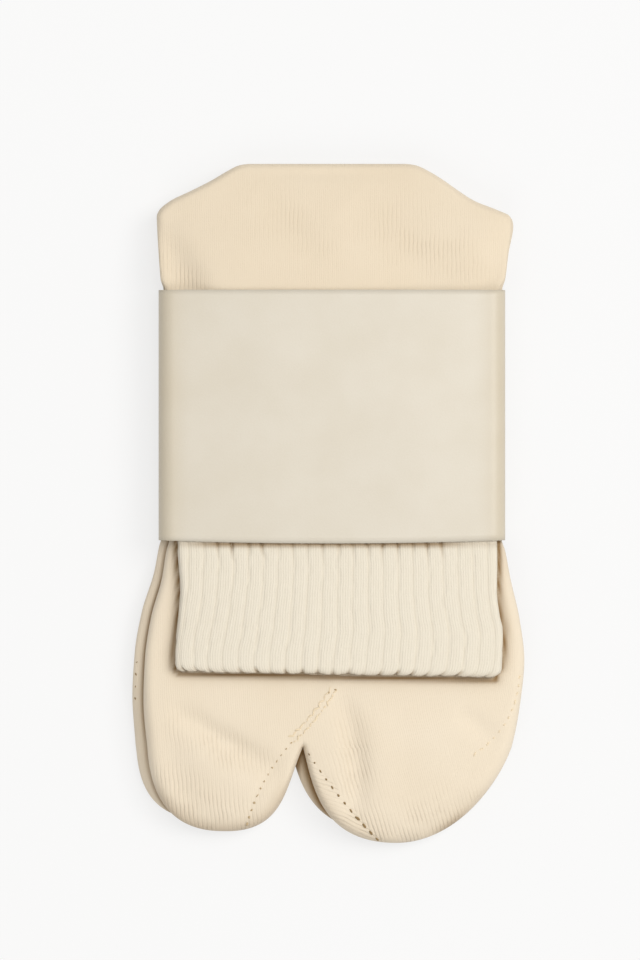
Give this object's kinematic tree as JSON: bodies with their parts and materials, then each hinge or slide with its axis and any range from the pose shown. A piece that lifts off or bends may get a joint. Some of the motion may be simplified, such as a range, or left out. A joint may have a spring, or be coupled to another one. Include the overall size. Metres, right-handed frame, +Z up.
{
  "type": "pair of tabi socks in a paper band",
  "caption": "Folded cream cotton split-toe socks with ribbed cuffs, laid sole to sole and held flat by a plain paper band.",
  "frame": {"origin": "on the ground, under the middle of the pair", "axes": "+X towards the little toes of both socks, +Y from the toes to the heel folds, +Z up out of the upper sock's folded cuff"},
  "size_m": [0.1152, 0.2, 0.0181],
  "materials": {
    "plain_knit": "matt cream cotton, plain knitted",
    "rib_knit": "matt cream cotton, two-by-two rib",
    "card": "smooth uncoated cream paper"
  },
  "bodies": {
    "root": {"left_sock": "plain_knit", "left_cuff": "rib_knit", "right_sock": "plain_knit", "right_cuff": "rib_knit", "paper_band": "card"}
  },
  "joints": []
}
